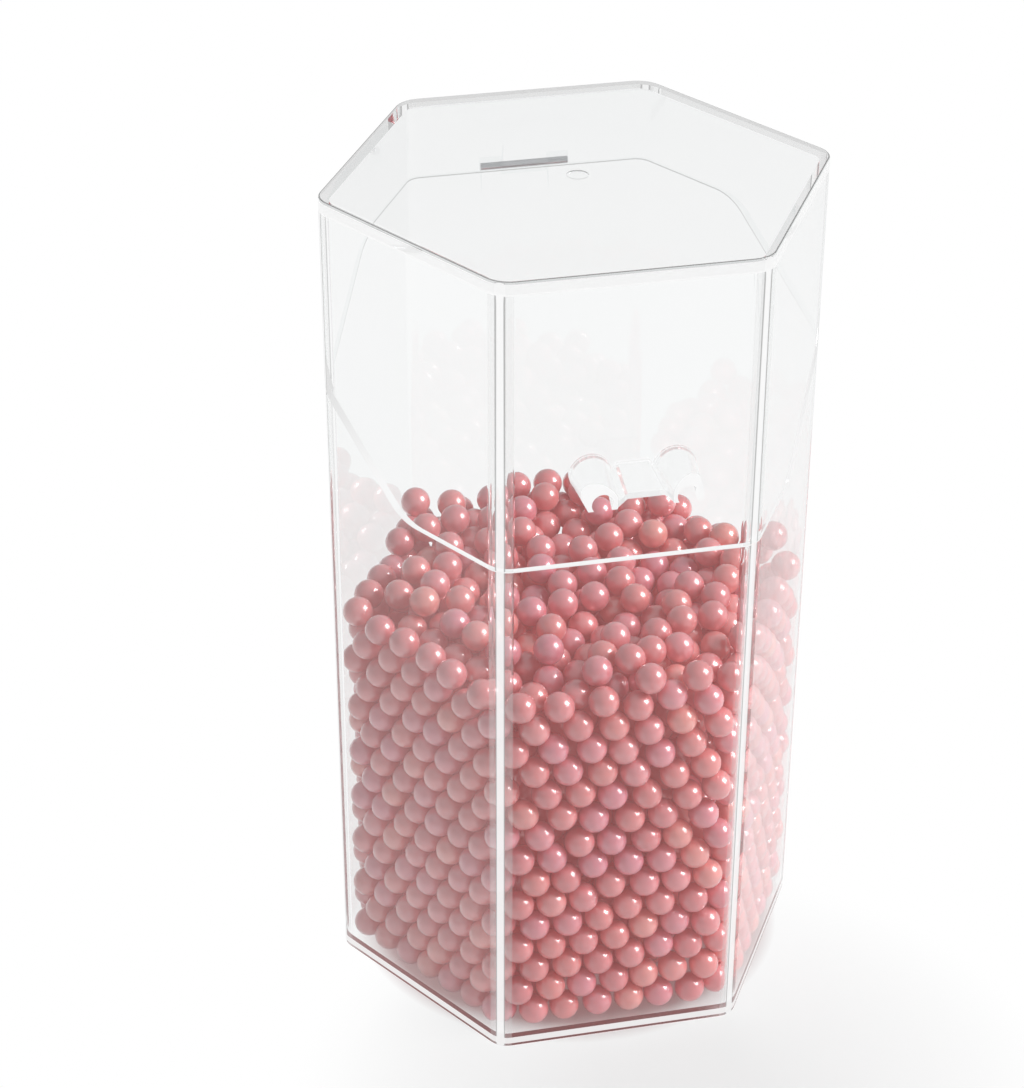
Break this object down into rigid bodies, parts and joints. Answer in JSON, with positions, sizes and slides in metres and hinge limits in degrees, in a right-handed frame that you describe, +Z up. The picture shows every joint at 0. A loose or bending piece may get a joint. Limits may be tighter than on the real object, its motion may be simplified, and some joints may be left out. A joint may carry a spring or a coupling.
{
  "type": "make-up brush holder",
  "caption": "Tall clear hexagonal box that holds make-up brushes upright in a bed of loose pearls, under a slant-cut clear hood that flips back on a rear hinge by a small front pull.",
  "frame": {"origin": "centre of the hexagonal foot, on the surface it stands on", "axes": "+Z up along the box, -Y out of the front face that carries the pull, X along the hinge"},
  "size_m": [0.1298, 0.1328, 0.224],
  "materials": {
    "clear_plastic": "polished clear",
    "pearl": "pearlescent",
    "pin_steel": "satin"
  },
  "bodies": {
    "cup": {"base_cup": "clear_plastic", "hinge_pin": "pin_steel", "pearl_core": "pearl", "pearls_front": "pearl", "pearls_front_left": "pearl", "pearls_front_right": "pearl", "pearls_back": "pearl", "pearls_back_left": "pearl", "pearls_back_right": "pearl", "pearls_top": "pearl"},
    "hood": {"hood_cover": "clear_plastic", "front_pull": "clear_plastic"}
  },
  "joints": [
    {"name": "hood_hinge", "type": "hinge", "parent": "cup", "child": "hood", "pos_m": [0, 0.05992, 0.20015], "axis": [-1, 0, 0], "range_deg": [0, 110]}
  ]
}
